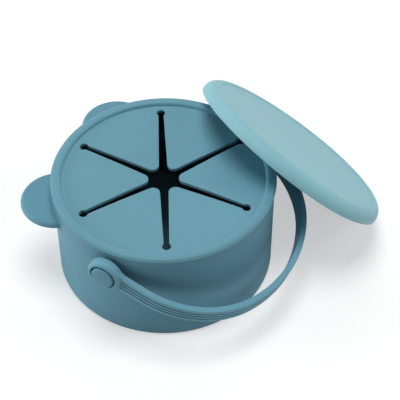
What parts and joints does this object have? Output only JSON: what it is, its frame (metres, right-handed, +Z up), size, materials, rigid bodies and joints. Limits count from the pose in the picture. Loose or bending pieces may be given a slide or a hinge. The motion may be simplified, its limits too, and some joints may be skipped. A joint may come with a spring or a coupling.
{
  "type": "toddler snack container",
  "caption": "Round silicone snack cup with ear tabs, a slit star cover in its mouth, a strap handle on two studs, and a flat lid leaning on the rim.",
  "frame": {"origin": "centre of the cup's base, on the floor", "axes": "+Z up along the cup's axis; +Y from the cup's axis to midway between the ears; X through the two handle studs, with the leaning lid on the +X, -Y side; the lowered handle lies on -Y"},
  "size_m": [0.1479, 0.1393, 0.0728],
  "materials": {
    "cup_silicone": "matt dusty teal silicone",
    "cover_silicone": "matt dusty teal silicone, slightly lighter",
    "strap_silicone": "matt dusty teal silicone",
    "lid_silicone": "frosted, translucent pale aqua silicone"
  },
  "bodies": {
    "cup": {"cup": "cup_silicone"},
    "handle": {"handle_strap": "strap_silicone"},
    "star_cover": {"star_cover": "cover_silicone"},
    "petal_1": {"petal_1": "cover_silicone"},
    "petal_2": {"petal_2": "cover_silicone"},
    "petal_3": {"petal_3": "cover_silicone"},
    "petal_4": {"petal_4": "cover_silicone"},
    "petal_5": {"petal_5": "cover_silicone"},
    "petal_6": {"petal_6": "cover_silicone"},
    "lid": {"lid": "lid_silicone"}
  },
  "joints": [
    {"name": "handle_swing", "type": "hinge", "parent": "cup", "child": "handle", "pos_m": [0, 0, 0.0392], "axis": [-1, 0, 0], "range_deg": [0, 186]},
    {"name": "star_cover_lift", "type": "slide", "parent": "cup", "child": "star_cover", "axis": [0, 0, 1], "range_m": [0, 0.06]},
    {"name": "petal_1_flex", "type": "hinge", "parent": "star_cover", "child": "petal_1", "pos_m": [0.03455, 0, 0.0486], "axis": [0, 1, 0], "range_deg": [-75, 35], "stiffness_Nm_per_rad": 0.025},
    {"name": "petal_2_flex", "type": "hinge", "parent": "star_cover", "child": "petal_2", "pos_m": [0.01728, 0.02993, 0.0486], "axis": [-0.866, 0.5, 0], "range_deg": [-75, 35], "stiffness_Nm_per_rad": 0.025},
    {"name": "petal_3_flex", "type": "hinge", "parent": "star_cover", "child": "petal_3", "pos_m": [-0.01728, 0.02993, 0.0486], "axis": [-0.866, -0.5, 0], "range_deg": [-75, 35], "stiffness_Nm_per_rad": 0.025},
    {"name": "petal_4_flex", "type": "hinge", "parent": "star_cover", "child": "petal_4", "pos_m": [-0.03455, 0, 0.0486], "axis": [0, -1, 0], "range_deg": [-75, 35], "stiffness_Nm_per_rad": 0.025},
    {"name": "petal_5_flex", "type": "hinge", "parent": "star_cover", "child": "petal_5", "pos_m": [-0.01728, -0.02993, 0.0486], "axis": [0.866, -0.5, 0], "range_deg": [-75, 35], "stiffness_Nm_per_rad": 0.025},
    {"name": "petal_6_flex", "type": "hinge", "parent": "star_cover", "child": "petal_6", "pos_m": [0.01728, -0.02993, 0.0486], "axis": [0.866, 0.5, 0], "range_deg": [-75, 35], "stiffness_Nm_per_rad": 0.025},
    {"name": "lid_lift", "type": "slide", "parent": "star_cover", "child": "lid", "axis": [0.6118, -0.3546, 0.7071], "range_m": [0, 0.1]}
  ],
  "couplings": [
    {"joint": "lid_lift", "follows": "handle_swing", "m_per_rad": 0.03}
  ]
}
